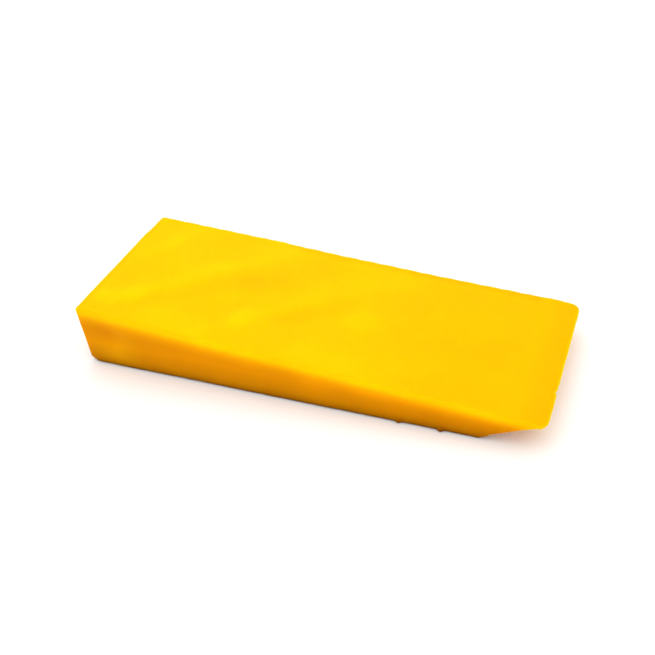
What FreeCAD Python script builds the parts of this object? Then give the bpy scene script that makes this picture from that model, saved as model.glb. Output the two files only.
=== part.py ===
import FreeCAD, Part
import math
import os
import Sketcher

# A bar of detailing clay: one solid, homogeneous piece with no moving or fitted parts.
# Millimetres. +X runs along the bar from the square end to the raked end, +Y to the back,
# +Z up. The origin is under the middle of the bar, on the flat face that it rests on.

# Every size that can be set by itself. The underside is level, and the top is a flat face
# that drops evenly from the square end to the tip of the raked end.
sizes = {
    "bar_length": 133.0,           # square end to tip
    "bar_width": 50.0,             # front to back
    "square_end_height": 19.7,     # top face above the underside, at the square end
    "raked_end_height": 8.6,       # top face above the underside, at the tip
    "rake_length": 17.3,           # how far the tip reaches past the underside
    "tip_thickness": 1.0,          # upright blunt edge that closes the tip
    "square_corner_radius": 1.4,   # plan corners at the square end
    "raked_corner_radius": 2.5,    # plan corners at the raked end
    "top_edge_round": 0.6,         # all round the top face
    "bottom_edge_round": 0.3,      # all round the underside and the raked face
}
origin = -1            # a sketch's own origin and X axis, as constraints number them
startPoint, endPoint = 1, 2
quarterTurn = math.pi / 2
volumeMatch = 0.02     # largest share by which the volume may differ from the sum


def makeSheet(doc):
    """One spreadsheet row for each size: its alias, then its value."""
    sheet = doc.addObject("Spreadsheet::Sheet", "sizes")
    for row, (alias, value) in enumerate(sizes.items(), start=1):
        sheet.set(f"A{row}", alias)
        sheet.set(f"B{row}", str(value))
        sheet.setAlias(f"B{row}", alias)
    doc.recompute()
    return sheet


def attachSketch(body, name, planeRole):
    """A new sketch of the body, flat on one of the body's own origin planes."""
    sketch = body.newObject("Sketcher::SketchObject", name)
    plane = next(item for item in body.Origin.OriginFeatures if item.Role == planeRole)
    sketch.AttachmentSupport = [(plane, "")]
    sketch.MapMode = "FlatFace"
    return sketch


def relate(sketch, kind, *geometry):
    """Add a constraint that has no size."""
    sketch.addConstraint(Sketcher.Constraint(kind, *geometry))


def bind(sketch, name, expression, kind, *geometry):
    """Add a sized constraint, name it, and tie it to the sheet."""
    index = sketch.addConstraint(Sketcher.Constraint(kind, *geometry))
    sketch.renameConstraint(index, name)
    sketch.setExpression(f"Constraints.{name}", expression)


def line(x1, y1, x2, y2):
    return Part.LineSegment(FreeCAD.Vector(x1, y1, 0), FreeCAD.Vector(x2, y2, 0))


def cornerArc(x, y, radius, startAngle):
    """A quarter circle about (x, y), drawn anticlockwise."""
    circle = Part.Circle(FreeCAD.Vector(x, y, 0), FreeCAD.Vector(0, 0, 1), radius)
    return Part.ArcOfCircle(circle, startAngle, startAngle + quarterTurn)


def drawOutline(body, sheet):
    """The bar in plan: a rectangle centred on the origin, with rounded corners."""
    sketch = attachSketch(body, "plan_outline", "XY_Plane")
    x, y = sheet.bar_length / 2, sheet.bar_width / 2
    square, raked = sheet.square_corner_radius, sheet.raked_corner_radius
    sketch.addGeometry([
        line(-x + square, -y, x - raked, -y),
        cornerArc(x - raked, -y + raked, raked, -quarterTurn),
        line(x, -y + raked, x, y - raked),
        cornerArc(x - raked, y - raked, raked, 0),
        line(x - raked, y, -x + square, y),
        cornerArc(-x + square, y - square, square, quarterTurn),
        line(-x, y - square, -x, -y + square),
        cornerArc(-x + square, -y + square, square, 2 * quarterTurn),
    ])
    front, frontRight, right, backRight, back, backLeft, left, frontLeft = range(8)
    for piece in range(8):
        relate(sketch, "Tangent", piece, endPoint, (piece + 1) % 8, startPoint)
    for piece in (front, back):
        relate(sketch, "Horizontal", piece)
    for piece in (right, left):
        relate(sketch, "Vertical", piece)
    relate(sketch, "Equal", frontRight, backRight)
    relate(sketch, "Equal", frontLeft, backLeft)
    bind(sketch, "raked", "sizes.raked_corner_radius", "Radius", frontRight, raked)
    bind(sketch, "square", "sizes.square_corner_radius", "Radius", frontLeft, square)
    halfLength, halfWidth = "sizes.bar_length / 2", "sizes.bar_width / 2"
    bind(sketch, "toRight", halfLength, "DistanceX", origin, startPoint, right, startPoint, x)
    bind(sketch, "toLeft", halfLength, "DistanceX", left, startPoint, origin, startPoint, x)
    bind(sketch, "toBack", halfWidth, "DistanceY", origin, startPoint, back, startPoint, y)
    bind(sketch, "toFront", halfWidth, "DistanceY", front, startPoint, origin, startPoint, y)
    return sketch


def drawTriangle(body, name, corners):
    """Three joined lines on the upright lengthwise plane. Line number n starts at
    corner number n, and each function that calls this adds the sizes."""
    sketch = attachSketch(body, name, "XZ_Plane")
    for index, corner in enumerate(corners):
        sketch.addGeometry(line(*corner, *corners[(index + 1) % 3]))
    for index in range(3):
        relate(sketch, "Coincident", index, endPoint, (index + 1) % 3, startPoint)
    return sketch


def drawAboveTop(body, sheet):
    """What lies between the top face and the level of its high end."""
    x, high, low = sheet.bar_length / 2, sheet.square_end_height, sheet.raked_end_height
    sketch = drawTriangle(body, "above_top", [(-x, high), (x, low), (x, high)])
    topLine, endLine, levelLine = range(3)
    relate(sketch, "Vertical", endLine)
    relate(sketch, "Horizontal", levelLine)
    halfLength = "sizes.bar_length / 2"
    bind(sketch, "toSquare", halfLength, "DistanceX", topLine, startPoint, origin, startPoint, x)
    bind(sketch, "toTip", halfLength, "DistanceX", origin, startPoint, endLine, startPoint, x)
    bind(sketch, "high", "sizes.square_end_height",
         "DistanceY", origin, startPoint, topLine, startPoint, high)
    bind(sketch, "low", "sizes.raked_end_height",
         "DistanceY", origin, startPoint, endLine, startPoint, low)
    return sketch


def drawBelowRake(body, sheet):
    """What lies under the raked face, from the end of the underside out to the tip."""
    x, reach = sheet.bar_length / 2, sheet.rake_length
    rise = sheet.raked_end_height - sheet.tip_thickness
    sketch = drawTriangle(body, "below_rake", [(x - reach, 0), (x, 0), (x, rise)])
    groundLine, endLine = 0, 1
    relate(sketch, "Vertical", endLine)
    relate(sketch, "Horizontal", groundLine)
    relate(sketch, "PointOnObject", groundLine, startPoint, origin)
    bind(sketch, "toTip", "sizes.bar_length / 2",
         "DistanceX", origin, startPoint, endLine, startPoint, x)
    bind(sketch, "reach", "sizes.rake_length",
         "DistanceX", groundLine, startPoint, groundLine, endPoint, reach)
    bind(sketch, "rise", "sizes.raked_end_height - sizes.tip_thickness",
         "DistanceY", endLine, startPoint, endLine, endPoint, rise)
    return sketch


def cutThrough(body, name, sketch):
    """Cut a sketch on the lengthwise plane through the bar, both ways. A cut that takes
    nothing away is an error."""
    before = body.Shape.Volume
    pocket = body.newObject("PartDesign::Pocket", name)
    pocket.Profile = sketch
    pocket.Type = "ThroughAll"
    pocket.SideType = "Symmetric"
    body.Document.recompute()
    if body.Shape.Volume >= before:
        raise RuntimeError(f"{name} cuts nothing")


def facing(shape, wanted):
    """The flat faces whose outward normal passes the test."""
    flat = [face for face in shape.Faces if isinstance(face.Surface, Part.Plane)]
    return [face for face in flat if wanted(face.normalAt(0, 0))]


def roundEdges(body, name, faces, radius):
    """Round every edge of the faces by a radius from the sheet."""
    base = body.Tip
    edges = body.Shape.Edges
    picked = [f"Edge{number}" for number, edge in enumerate(edges, start=1)
              if any(edge.isSame(other) for face in faces for other in face.Edges)]
    fillet = body.newObject("PartDesign::Fillet", name)
    fillet.Base = (base, picked)
    fillet.setExpression("Radius", f"sizes.{radius}")
    body.Document.recompute()


def makeClayBar(doc, sheet):
    """The whole bar: its plan, cut down to the sloping top, cut back under the raked
    end, and rounded along its edges."""
    body = doc.addObject("PartDesign::Body", "clay_bar")
    body.Label = "clay_bar"
    pad = body.newObject("PartDesign::Pad", "blank")
    pad.Profile = drawOutline(body, sheet)
    pad.setExpression("Length", "sizes.square_end_height")
    doc.recompute()
    cutThrough(body, "top_slope", drawAboveTop(body, sheet))
    cutThrough(body, "end_rake", drawBelowRake(body, sheet))
    checkVolume(body, sheet)
    topFaces = facing(body.Shape, lambda normal: normal.z > 0.5)
    roundEdges(body, "top_rounding", topFaces, "top_edge_round")
    underFaces = facing(body.Shape, lambda normal: normal.z < -0.5)
    roundEdges(body, "bottom_rounding", underFaces, "bottom_edge_round")
    return body


def checkVolume(body, sheet):
    """Compare the sharp-edged bar with the area of its side view times its width."""
    meanHeight = (sheet.square_end_height + sheet.raked_end_height) / 2
    rakeRise = sheet.raked_end_height - sheet.tip_thickness
    sideArea = sheet.bar_length * meanHeight - sheet.rake_length * rakeRise / 2
    expected = sideArea * sheet.bar_width
    if abs(body.Shape.Volume - expected) > volumeMatch * expected:
        raise RuntimeError(f"volume is {body.Shape.Volume:.0f}, expected {expected:.0f}")


def checkDocument(doc, bodies):
    """Stop on any failed object or unusable shape before anything is written."""
    for item in doc.Objects:
        if "Invalid" in item.State or "Error" in item.State:
            raise RuntimeError(f"{item.Name} failed: {item.State}")
    for body in bodies:
        if body.Shape.isNull() or not body.Shape.isValid() or len(body.Shape.Solids) != 1:
            raise RuntimeError(f"{body.Label} is not one valid solid")


def main():
    doc = FreeCAD.newDocument("clay_bar")
    sheet = makeSheet(doc)
    bodies = [makeClayBar(doc, sheet)]
    doc.recompute()
    checkDocument(doc, bodies)
    os.makedirs("parts", exist_ok=True)
    for body in bodies:
        body.Shape.exportStep(f"parts/{body.Label}.step")
        box = body.Shape.optimalBoundingBox()
        print(f"{body.Label}: {box.XLength:.2f} x {box.YLength:.2f} x {box.ZLength:.2f} mm, "
              f"{body.Shape.Volume / 1000:.1f} cm3, {len(body.Shape.Faces)} faces")


main()
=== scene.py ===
import math

import bpy
from mathutils import Matrix, Vector


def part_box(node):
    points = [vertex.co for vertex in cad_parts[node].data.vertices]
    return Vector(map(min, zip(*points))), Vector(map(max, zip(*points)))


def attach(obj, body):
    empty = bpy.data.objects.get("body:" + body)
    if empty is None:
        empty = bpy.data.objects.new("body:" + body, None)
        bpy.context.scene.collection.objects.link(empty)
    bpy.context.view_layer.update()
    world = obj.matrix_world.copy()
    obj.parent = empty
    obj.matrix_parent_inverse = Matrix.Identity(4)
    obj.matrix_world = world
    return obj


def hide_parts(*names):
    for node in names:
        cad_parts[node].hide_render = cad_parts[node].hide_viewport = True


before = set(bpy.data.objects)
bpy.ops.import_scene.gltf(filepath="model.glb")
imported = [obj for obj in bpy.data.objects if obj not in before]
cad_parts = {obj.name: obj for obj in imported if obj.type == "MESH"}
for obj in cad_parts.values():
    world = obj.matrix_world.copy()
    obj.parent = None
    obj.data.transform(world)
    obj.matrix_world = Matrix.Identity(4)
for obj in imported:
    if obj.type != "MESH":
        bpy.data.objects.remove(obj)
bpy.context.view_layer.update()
boxLow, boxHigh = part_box("clay_bar")
mm = 0.001
close = 0.05 * mm               # two places this near to each other are the same
print("frame loaded")


# general helpers

def clearSelection():
    if bpy.context.object and bpy.context.object.mode != "OBJECT":
        bpy.ops.object.mode_set(mode="OBJECT")
    bpy.ops.object.select_all(action="DESELECT")


def makeActive(obj):
    clearSelection()
    obj.select_set(True)
    bpy.context.view_layer.objects.active = obj


def placeIntoMesh(obj):
    makeActive(obj)
    bpy.ops.object.transform_apply(location=True, rotation=True, scale=True)


# selects what passes a test in one select mode, and leaves the object in edit mode
def pick(obj, mode, wanted):
    makeActive(obj)
    bpy.ops.object.mode_set(mode="EDIT")
    bpy.ops.mesh.select_mode(type=mode)
    bpy.ops.mesh.select_all(action="DESELECT")
    bpy.ops.object.mode_set(mode="OBJECT")
    verts = obj.data.vertices
    if mode == "VERT":
        for vert in verts:
            vert.select = wanted(vert.co)
    elif mode == "EDGE":
        for edge in obj.data.edges:
            edge.select = all(wanted(verts[index].co) for index in edge.vertices)
    else:
        for face in obj.data.polygons:
            face.select = wanted(face.normal)
    bpy.ops.object.mode_set(mode="EDIT")


def leaveEdit():
    bpy.ops.object.mode_set(mode="OBJECT")


def finishModifier(obj, kind, **settings):
    makeActive(obj)
    mod = obj.modifiers.new(kind.lower(), kind)
    for key, value in settings.items():
        setattr(mod, key, value)
    bpy.ops.object.modifier_apply(modifier=mod.name)


# the bar: a slab with a level underside, a top that falls away to the raked end, and a
# blunt tip that reaches past the underside
bar = dict(
    squareHeight=19.7 * mm,     # top of the square end
    tipHeight=8.6 * mm,         # top of the tip
    tipThickness=0.5 * mm,      # upright blunt edge of the tip
    rake=17.3 * mm,             # reach of the tip past the underside
    topRound=0.25 * mm,
    bottomRound=0.2 * mm,
    footCut=1.5 * mm,           # knocked-off foot of the square end's front corner
    footSlant=(-0.56, -0.49, -0.67),
    voxel=0.5 * mm,
    meltPasses=1,               # takes the hard edge off the cuts
    stretch=0.3 * mm,           # given back to the length, because the remesh draws the tip in
)

# plan corners: end, side and radius, each a little different, as cut clay is
planCorners = [
    (-1, -1, 0.3 * mm),
    (-1, 1, 1.8 * mm),
    (1, 1, 3.4 * mm),
    (1, -1, 2.6 * mm),
]

barLength = boxHigh.x - boxLow.x
barWidth = boxHigh.y - boxLow.y
heel = boxHigh.x - bar["rake"]  # where the underside ends


def topAt(x):
    along = (x - boxLow.x) / barLength
    return bar["squareHeight"] + (bar["tipHeight"] - bar["squareHeight"]) * along


def rakeAt(x):
    return (bar["tipHeight"] - bar["tipThickness"]) * (x - heel) / bar["rake"]


def makeBlank():
    clearSelection()
    height = bar["squareHeight"]
    bpy.ops.mesh.primitive_cube_add(size=1, location=((boxLow.x + heel) / 2, 0, height / 2),
                                    scale=(heel - boxLow.x, barWidth, height))
    obj = bpy.context.object
    placeIntoMesh(obj)
    # the end of the top comes down to the slope
    pick(obj, "VERT", lambda co: co.x > heel - close and co.z > height - close)
    bpy.ops.transform.translate(value=(0, 0, topAt(heel) - height))
    # the raked end is drawn out of that end face and pinched to the tip
    pick(obj, "FACE", lambda normal: normal.x > 0.9)
    bpy.ops.mesh.extrude_region_move(TRANSFORM_OT_translate={"value": (bar["rake"], 0, 0)})
    pick(obj, "VERT", lambda co: co.x > heel + close and co.z > close)
    bpy.ops.transform.translate(value=(0, 0, bar["tipHeight"] - topAt(heel)))
    pick(obj, "VERT", lambda co: co.x > heel + close and co.z < close)
    bpy.ops.transform.translate(value=(0, 0, bar["tipHeight"] - bar["tipThickness"]))
    # one face for each flat side again
    bpy.ops.mesh.select_all(action="SELECT")
    bpy.ops.mesh.dissolve_limited(angle_limit=math.radians(1))
    leaveEdit()
    return obj


def roundEdges(obj, wanted, radius, segments):
    pick(obj, "EDGE", wanted)
    bpy.ops.mesh.bevel(offset=radius, offset_type="OFFSET", segments=segments, profile=0.5)
    leaveEdit()


def roundCorners(obj):
    for end, side, radius in planCorners:
        x = boxHigh.x if end > 0 else boxLow.x
        y = boxHigh.y if side > 0 else boxLow.y
        roundEdges(obj, lambda co: abs(co.x - x) < close and abs(co.y - y) < close, radius, 6)


def knockFoot(obj):
    slant = Vector(bar["footSlant"]).normalized()
    corner = Vector((boxLow.x, boxLow.y, boxLow.z))
    makeActive(obj)
    bpy.ops.object.mode_set(mode="EDIT")
    bpy.ops.mesh.select_all(action="SELECT")
    bpy.ops.mesh.bisect(plane_co=corner - slant * bar["footCut"], plane_no=slant,
                        use_fill=True, clear_outer=True)
    leaveEdit()


# crumbs that the cutter left along the lower front edge: place along the bar and radius
crumbs = [
    (28.6 * mm, 0.55 * mm),
    (39.8 * mm, 0.60 * mm),
]
crumbOut = 0.3                  # centre outside the front, as a share of the radius
crumbUp = 0.9                   # centre above the underside, likewise


def addCrumbs(obj):
    for x, radius in crumbs:
        clearSelection()
        place = (x, boxLow.y - radius * crumbOut, radius * crumbUp)
        bpy.ops.mesh.primitive_ico_sphere_add(subdivisions=3, radius=radius, location=place)
        crumb = bpy.context.object
        makeActive(obj)
        crumb.select_set(True)
        bpy.ops.object.join()


# marks in the top: the start and the end of each in millimetres, how far it moves the
# surface, and how wide it is
topMarks = [
    # the thin end and the edges roll off a little
    ((50, -12), (58, 14), -0.08 * mm, 46 * mm),
    ((65, -23), (65, 23), -0.15 * mm, 7 * mm),
    ((-20, 24), (54, 24), -0.20 * mm, 2.5 * mm),
    ((-66, -23), (-66, 23), -0.16 * mm, 2 * mm),
    # low ridges that the wire left
    ((-61, -17), (-53, -13), 0.26 * mm, 5 * mm),
    ((-53, -13), (-35, 6), 0.17 * mm, 5 * mm),
    ((-35, 6), (-19, 19), 0.15 * mm, 5 * mm),
    ((-60, 6), (-52, 21), 0.12 * mm, 4.5 * mm),
    ((-55, 13), (-54, 15), 0.16 * mm, 4 * mm),
    ((-29, -24), (-20, -13), 0.12 * mm, 5 * mm),
    ((-20, -14), (-19, -12), 0.22 * mm, 5 * mm),
    ((-20, -13), (-3, 2), 0.15 * mm, 5 * mm),
    ((-4, 8), (18, 17), 0.13 * mm, 6 * mm),
    ((-44, -19), (-32, -22), 0.15 * mm, 8 * mm),
    ((11, -4), (13, -2), 0.22 * mm, 7 * mm),
    ((0, -21), (14, -22), 0.15 * mm, 8 * mm),
    # hollows between them
    ((-50, -16), (-24, 4), -0.12 * mm, 5 * mm),
    ((-24, 2), (-17, 6), -0.13 * mm, 7 * mm),
    ((-10, -9), (6, 2), -0.13 * mm, 5 * mm),
]

# dents in the front, in the same form, by place along the bar and height
frontMarks = [
    ((-58, 11), (-54, 10.2), 0.30 * mm, 4.5 * mm),
    ((-30, 9), (-18, 8), 0.15 * mm, 5 * mm),
    ((12, 6), (22, 5), 0.15 * mm, 4 * mm),
]
markLine = 0.6 * mm             # a mark takes hold of the surface this near to its line
markSkin = 0.3 * mm             # and this near to the flat of the top or the front

# nicks in the edge of the tip: place across the bar and depth
tipNicks = [
    (-11.8 * mm, 0.45 * mm),
    (-9.6 * mm, 0.15 * mm),
]

# the raked face is hollow between the heel and the tip
rakeHollow = dict(
    start=4 * mm,               # past the heel
    leftOver=2.2 * mm,          # thickness of the bar where the hollow ends
    depth=0.55 * mm,
    width=2 * mm,
)

# the square end draws in at its back corner
drawnCorner = dict(
    side=19 * mm,               # from here to the back
    drop=2 * mm,                # from the top down
    depth=0.35 * mm,
    width=6 * mm,
)

# the long back edge sags past its middle
backSag = dict(
    middle=12 * mm,
    reach=10 * mm,
    push=(0, -0.25 * mm, -0.12 * mm),
    width=32 * mm,
)


def nearLine(px, py, start, end):
    ax, ay = start[0] * mm, start[1] * mm
    bx, by = end[0] * mm - ax, end[1] * mm - ay
    along = ((px - ax) * bx + (py - ay) * by) / (bx * bx + by * by)
    along = min(max(along, 0), 1)
    return math.hypot(px - ax - bx * along, py - ay - by * along) < markLine


def pushMark(obj, wanted, value, width):
    pick(obj, "VERT", wanted)
    bpy.ops.transform.translate(value=value, use_proportional_edit=True, use_proportional_connected=True,
                                proportional_edit_falloff="SMOOTH", proportional_size=width)
    leaveEdit()


def markTop(obj):
    for start, end, height, width in topMarks:
        pushMark(obj, lambda co: co.z > topAt(co.x) - markSkin and nearLine(co.x, co.y, start, end),
                 (0, 0, height), width)


def markFront(obj):
    for start, end, depth, width in frontMarks:
        pushMark(obj, lambda co: co.y < boxLow.y + markSkin and nearLine(co.x, co.z, start, end),
                 (0, depth, 0), width)


def hollowRake(obj):
    skin = 0.35 * mm
    pushMark(obj, lambda co: co.x > heel + rakeHollow["start"] and abs(co.z - rakeAt(co.x)) < skin
             and co.z < topAt(co.x) - rakeHollow["leftOver"],
             (0, 0, rakeHollow["depth"]), rakeHollow["width"])


def nickTip(obj):
    edge, halfWidth, width = 0.4 * mm, 0.3 * mm, 1.2 * mm
    for y, depth in tipNicks:
        pushMark(obj, lambda co: co.x > boxHigh.x - edge and abs(co.y - y) < halfWidth,
                 (-depth, 0, 0), width)


def drawInCorner(obj):
    skin = 0.5 * mm
    pushMark(obj, lambda co: co.x < boxLow.x + skin and co.y > drawnCorner["side"]
             and co.z > topAt(co.x) - drawnCorner["drop"],
             (drawnCorner["depth"], 0, 0), drawnCorner["width"])


def sagBack(obj):
    skin, under = 0.6 * mm, 0.8 * mm
    pushMark(obj, lambda co: co.y > boxHigh.y - skin and co.z > topAt(co.x) - under
             and abs(co.x - backSag["middle"]) < backSag["reach"],
             backSag["push"], backSag["width"])


# soft unevenness of a hand-cut block: texture size and height
swells = [
    (30 * mm, 0.20 * mm),
    (9 * mm, 0.10 * mm),
    (2.4 * mm, 0.08 * mm),
]


def unevenSurface(obj):
    for size, height in swells:
        tex = bpy.data.textures.new("swell", "CLOUDS")
        tex.noise_scale = size
        tex.noise_depth = 1
        finishModifier(obj, "DISPLACE", texture=tex, strength=height, mid_level=0.5, texture_coords="LOCAL")
        bpy.data.textures.remove(tex)


# the bar lies flat, so nothing hangs below the surface that it rests on
def flattenFoot(obj):
    pick(obj, "VERT", lambda co: co.z < boxLow.z)
    bpy.ops.transform.resize(value=(1, 1, 0), center_override=(0, 0, boxLow.z))
    leaveEdit()


def stretchBar(obj):
    pick(obj, "VERT", lambda co: True)
    bpy.ops.transform.resize(value=(1 + bar["stretch"] / barLength, 1, 1), center_override=(boxLow.x, 0, 0))
    leaveEdit()


def makeBar():
    obj = makeBlank()
    roundCorners(obj)
    roundEdges(obj, lambda co: abs(co.z - topAt(co.x)) < close, bar["topRound"], 4)
    roundEdges(obj, lambda co: co.z < close or abs(co.z - rakeAt(co.x)) < close, bar["bottomRound"], 2)
    knockFoot(obj)
    addCrumbs(obj)
    finishModifier(obj, "REMESH", mode="VOXEL", voxel_size=bar["voxel"])
    finishModifier(obj, "SMOOTH", factor=0.5, iterations=bar["meltPasses"])
    stretchBar(obj)
    markTop(obj)
    markFront(obj)
    hollowRake(obj)
    nickTip(obj)
    drawInCorner(obj)
    sagBack(obj)
    unevenSurface(obj)
    flattenFoot(obj)
    makeActive(obj)
    bpy.ops.object.shade_smooth()
    obj.name = "clayBar"
    obj.data.name = "clayBar"
    return obj


# waxy yellow clay
clay = dict(
    roughness=0.5,
    roughnessSpread=0.07,
    bleed=1.6 * mm,             # how far light spreads inside
    bleedColour=(1.0, 0.7, 0.1),
    gloss=0.015,
    glossColour=(1.0, 0.8, 0.02, 1),
    mottleScale=55,
    mottleRelief=0.06 * mm,     # the mottle changes the top's tone as this much height would
    mottleShade=0.07,           # and lightens or darkens the sides by this share
    grainScale=1400,
    grainStrength=0.25,
    grainDepth=0.05 * mm,
    topFrom=0.9,                # upward part of the normal where the top's colour begins
    topFull=0.99,               # and where it is the only one
)

# colour of the top by its height over the level of the cut: painted light on the ridges, painted shade in
# the hollows and the rolled-off edges
topToneWithPaintedRidgeShade = [
    (-0.35 * mm, (0.95, 0.440, 0.0010, 1)),
    (0.00 * mm, (0.96, 0.505, 0.0010, 1)),
    (0.35 * mm, (0.97, 0.565, 0.0010, 1)),
]

# colour of the sides by depth under the top: a painted band of light just under the top edge, and painted
# shade deepening down the sides
sidePaintedGlowAndShade = [
    (-6.0 * mm, (0.72, 0.258, 0.0008, 1)),
    (-4.1 * mm, (0.79, 0.300, 0.0008, 1)),
    (-3.0 * mm, (0.86, 0.365, 0.0010, 1)),
    (-2.0 * mm, (0.93, 0.480, 0.0010, 1)),
    (-1.2 * mm, (0.96, 0.560, 0.0010, 1)),
    (-0.4 * mm, (0.96, 0.545, 0.0010, 1)),
    (0.0 * mm, (0.96, 0.505, 0.0010, 1)),
]

# painted shade: the sides darken towards the foot, by height, down to a dark painted contact line at the
# underside
footPaintedShade = [
    (0.0 * mm, (0.04, 0.03, 0.03, 1)),
    (0.4 * mm, (0.11, 0.09, 0.09, 1)),
    (1.1 * mm, (0.45, 0.45, 0.45, 1)),
    (2.2 * mm, (0.64, 0.65, 0.65, 1)),
    (3.6 * mm, (0.77, 0.79, 0.79, 1)),
    (8.0 * mm, (1.00, 1.00, 1.00, 1)),
]

# painted shade that deepens towards the thin end, where the light falls off, by place along the bar
endPaintedFalloff = [
    (15 * mm, (1.0, 1.00, 1.0, 1)),
    (66 * mm, (1.0, 0.92, 0.9, 1)),
]

# painted shade and painted light of the front dent near the square end, a dark spot over the dent and a
# lighter patch below it: place in millimetres, reach and tint
dentPaintedShadeAndLight = [
    ((-57.5, -25, 11.6), 5 * mm, (0.93, 0.80, 0.8, 1)),
    ((-55.5, -25, 6.5), 9 * mm, (1.14, 1.32, 1.0, 1)),
]


def node(tree, kind, place, **settings):
    made = tree.nodes.new(kind)
    made.location = place
    for key, value in settings.items():
        setattr(made, key, value)
    return made


def splitVector(tree, source, place):
    made = node(tree, "ShaderNodeSeparateXYZ", place)
    tree.links.new(source, made.inputs["Vector"])
    return made.outputs


def noise(tree, coords, place, scale, detail):
    made = node(tree, "ShaderNodeTexNoise", place)
    made.inputs["Scale"].default_value = scale
    made.inputs["Detail"].default_value = detail
    tree.links.new(coords.outputs["Object"], made.inputs["Vector"])
    return made.outputs["Fac"]


def mapRange(tree, source, place, low, high, toLow=0, toHigh=1):
    made = node(tree, "ShaderNodeMapRange", place)
    made.inputs["From Min"].default_value = low
    made.inputs["From Max"].default_value = high
    made.inputs["To Min"].default_value = toLow
    made.inputs["To Max"].default_value = toHigh
    tree.links.new(source, made.inputs["Value"])
    return made.outputs["Result"]


# the middle of a noise spread over a range of its own about a level
def noiseRange(tree, source, place, level, spread):
    return mapRange(tree, source, place, 0.3, 0.7, level - spread, level + spread)


def toneRamp(tree, source, place, tones):
    low, high = tones[0][0], tones[-1][0]
    made = node(tree, "ShaderNodeValToRGB", place)
    stops = made.color_ramp.elements
    while len(stops) < len(tones):
        stops.new(0.5)
    for stop, (level, colour) in zip(stops, tones):
        stop.position = (level - low) / (high - low)
        stop.color = colour
    tree.links.new(mapRange(tree, source, (place[0] - 200, place[1]), low, high), made.inputs["Fac"])
    return made.outputs["Color"]


def mixColour(tree, place, blend, factor, first, second):
    made = node(tree, "ShaderNodeMix", place, data_type="RGBA", blend_type=blend)
    if isinstance(factor, float):
        made.inputs[0].default_value = factor
    else:
        tree.links.new(factor, made.inputs[0])
    tree.links.new(first, made.inputs[6])
    tree.links.new(second, made.inputs[7])
    return made.outputs[2]


# height over the sloping level of the top, which is also the depth under it on the sides
def reliefOverTop(tree, coords):
    slope = Vector(((bar["squareHeight"] - bar["tipHeight"]) / barLength, 0, 1)).normalized()
    acrossTop = node(tree, "ShaderNodeVectorMath", (-1600, 100), operation="DOT_PRODUCT")
    acrossTop.inputs[1].default_value = slope
    tree.links.new(coords.outputs["Object"], acrossTop.inputs[0])
    relief = node(tree, "ShaderNodeMath", (-1400, 100), operation="SUBTRACT")
    relief.inputs[1].default_value = slope.dot(Vector((boxLow.x, 0, bar["squareHeight"])))
    tree.links.new(acrossTop.outputs["Value"], relief.inputs[0])
    return relief.outputs["Value"]


def topColourWithPaintedShade(tree, relief, mottle):
    speckle = noiseRange(tree, mottle, (-1400, 400), 0, clay["mottleRelief"])
    mottled = node(tree, "ShaderNodeMath", (-1200, 300), operation="ADD")
    tree.links.new(relief, mottled.inputs[0])
    tree.links.new(speckle, mottled.inputs[1])
    # the ramp paints light on the ridges and shade in the hollows; the random mottle shifts the height it
    # reads
    return toneRamp(tree, mottled.outputs["Value"], (-800, 300), topToneWithPaintedRidgeShade)


def sideColourWithPaintedShade(tree, coords, relief, height, mottle):
    # painted light just under the top edge, and painted shade deeper down the sides
    colour = toneRamp(tree, relief, (-800, 0), sidePaintedGlowAndShade)
    # painted shade towards the foot, with a dark painted line along the underside
    footShade = toneRamp(tree, height, (-800, -300), footPaintedShade)
    colour = mixColour(tree, (-600, -100), "MULTIPLY", 1.0, colour, footShade)
    cloud = noiseRange(tree, mottle, (-600, -250), 1, clay["mottleShade"])
    colour = mixColour(tree, (-400, -100), "MULTIPLY", 1.0, colour, cloud)
    # painted shade and painted light of the front dent
    for place, reach, tint in dentPaintedShadeAndLight:
        away = node(tree, "ShaderNodeVectorMath", (-1400, -600), operation="DISTANCE")
        away.inputs[1].default_value = Vector(place) * mm
        tree.links.new(coords.outputs["Object"], away.inputs[0])
        paintedDentTone = node(tree, "ShaderNodeMix", (-400, -250), data_type="RGBA", blend_type="MULTIPLY")
        paintedDentTone.inputs[7].default_value = tint
        tree.links.new(mapRange(tree, away.outputs["Value"], (-1200, -600), reach, 0), paintedDentTone.inputs[0])
        tree.links.new(colour, paintedDentTone.inputs[6])
        colour = paintedDentTone.outputs[2]
    return colour


def addGrain(tree, coords, shader):
    bump = node(tree, "ShaderNodeBump", (-400, -700))
    bump.inputs["Strength"].default_value = clay["grainStrength"]
    bump.inputs["Distance"].default_value = clay["grainDepth"]
    tree.links.new(noise(tree, coords, (-800, -700), clay["grainScale"], 4), bump.inputs["Height"])
    tree.links.new(bump.outputs["Normal"], shader.inputs["Normal"])


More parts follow.
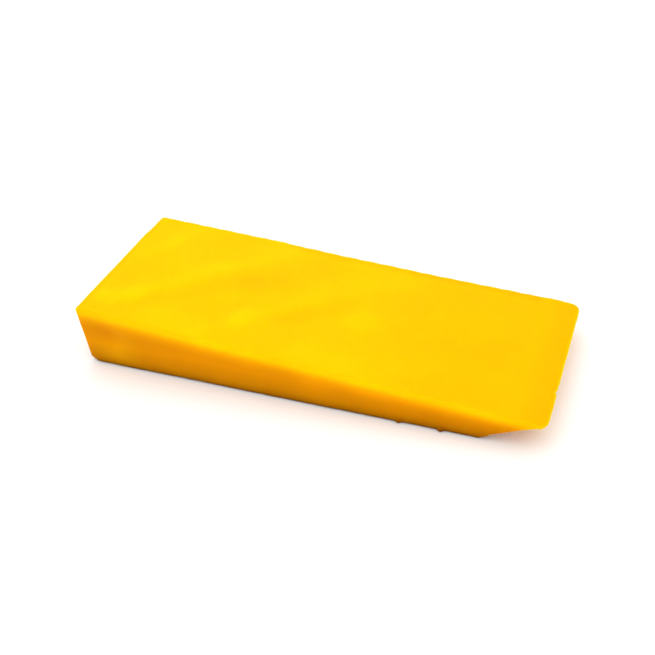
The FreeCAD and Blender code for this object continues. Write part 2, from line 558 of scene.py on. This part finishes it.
def clayMaterial():
    mat = bpy.data.materials.new("yellowClay")
    mat.use_nodes = True
    tree = mat.node_tree
    shader = tree.nodes["Principled BSDF"]
    coords = node(tree, "ShaderNodeTexCoord", (-1800, 0))
    spot = splitVector(tree, coords.outputs["Object"], (-1600, -200))
    facing = splitVector(tree, coords.outputs["Normal"], (-1600, -400))
    relief = reliefOverTop(tree, coords)
    mottle = noise(tree, coords, (-1600, 400), clay["mottleScale"], 2)
    # upward faces take the top's colour; the rest take the sides' colour, which is the same clay painted in
    # shade
    upward = mapRange(tree, facing["Z"], (-800, 600), clay["topFrom"], clay["topFull"])
    colour = mixColour(tree, (-300, 200), "MIX", upward,
                       sideColourWithPaintedShade(tree, coords, relief, spot["Z"], mottle),
                       topColourWithPaintedShade(tree, relief, mottle))
    # painted shade that deepens towards the thin end
    endShade = toneRamp(tree, spot["X"], (-400, 500), endPaintedFalloff)
    colour = mixColour(tree, (-200, 200), "MULTIPLY", 1.0, colour, endShade)
    tree.links.new(colour, shader.inputs["Base Color"])
    rough = noiseRange(tree, mottle, (-400, -400), clay["roughness"], clay["roughnessSpread"])
    tree.links.new(rough, shader.inputs["Roughness"])
    addGrain(tree, coords, shader)
    shader.inputs["Subsurface Weight"].default_value = 1.0
    shader.inputs["Subsurface Radius"].default_value = clay["bleedColour"]
    shader.inputs["Subsurface Scale"].default_value = clay["bleed"]
    shader.inputs["Specular IOR Level"].default_value = clay["gloss"]
    shader.inputs["Specular Tint"].default_value = clay["glossColour"]
    return mat


# plain pale floor and soft studio light
studio = dict(
    floorSize=3.0,
    floorColour=(0.95, 0.95, 0.95, 1),
    floorRoughness=0.9,
    ambient=1.0,
    ambientColour=(1.0, 1.0, 1.0, 1),
)
softboxes = [
    dict(name="overhead", place=(0.0, 0.1, 0.8), aim=(0, 0, 0), size=1.6, power=3.75),
    dict(name="fill", place=(0.3, -0.9, 0.35), aim=(0, 0, 0), size=0.8, power=0.42),
]


def makeFloor():
    clearSelection()
    bpy.ops.mesh.primitive_plane_add(size=studio["floorSize"], location=(0, 0, boxLow.z))
    floor = bpy.context.object
    floor.name = "floor"
    placeIntoMesh(floor)
    mat = bpy.data.materials.new("paleFloor")
    mat.use_nodes = True
    shader = mat.node_tree.nodes["Principled BSDF"]
    shader.inputs["Base Color"].default_value = studio["floorColour"]
    shader.inputs["Roughness"].default_value = studio["floorRoughness"]
    floor.data.materials.append(mat)


def makeLights():
    world = bpy.data.worlds.new("studio")
    bpy.context.scene.world = world
    world.use_nodes = True
    background = world.node_tree.nodes["Background"]
    background.inputs["Color"].default_value = studio["ambientColour"]
    background.inputs["Strength"].default_value = studio["ambient"]
    for box in softboxes:
        place = Vector(box["place"])
        turn = (Vector(box["aim"]) - place).to_track_quat("-Z", "Y").to_euler()
        bpy.ops.object.light_add(type="AREA", location=place, rotation=turn)
        lamp = bpy.context.object
        lamp.name = box["name"]
        lamp.data.shape = "DISK"
        lamp.data.size = box["size"]
        lamp.data.energy = box["power"]


# camera: turned round the bar from the front, raised, and rolled a little
view = dict(
    aim=(-1.38 * mm, 2.38 * mm, 4.15 * mm),
    turn=26.07,
    rise=38.73,
    roll=-7.40,
    distance=256.1 * mm,
    lens=48.48,
    sensor=36,
    nearest=10 * mm,            # nothing closer than this is drawn
)


def makeCamera():
    turn, rise, roll = (math.radians(view[key]) for key in ("turn", "rise", "roll"))
    back = Vector((math.sin(turn) * math.cos(rise), -math.cos(turn) * math.cos(rise), math.sin(rise)))
    right = Vector((0, 0, 1)).cross(back).normalized()
    up = back.cross(right)
    facing = Matrix((right, up, back)).transposed() @ Matrix.Rotation(roll, 3, "Z")
    place = Vector(view["aim"]) + back * view["distance"]
    data = bpy.data.cameras.new("camera")
    data.lens = view["lens"]
    data.sensor_width = view["sensor"]
    data.clip_start = view["nearest"]
    camera = bpy.data.objects.new("camera", data)
    camera.matrix_world = Matrix.Translation(place) @ facing.to_4x4()
    bpy.context.scene.collection.objects.link(camera)
    bpy.context.scene.camera = camera


piece = makeBar()
print("bar shaped", len(piece.data.polygons), "faces")
piece.data.materials.clear()
piece.data.materials.append(clayMaterial())
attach(piece, "root")
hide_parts("clay_bar")
print("clay finished")
makeFloor()
makeLights()
makeCamera()
scene = bpy.context.scene
scene.view_settings.view_transform = "Standard"
scene.view_settings.look = "None"
print("studio ready")
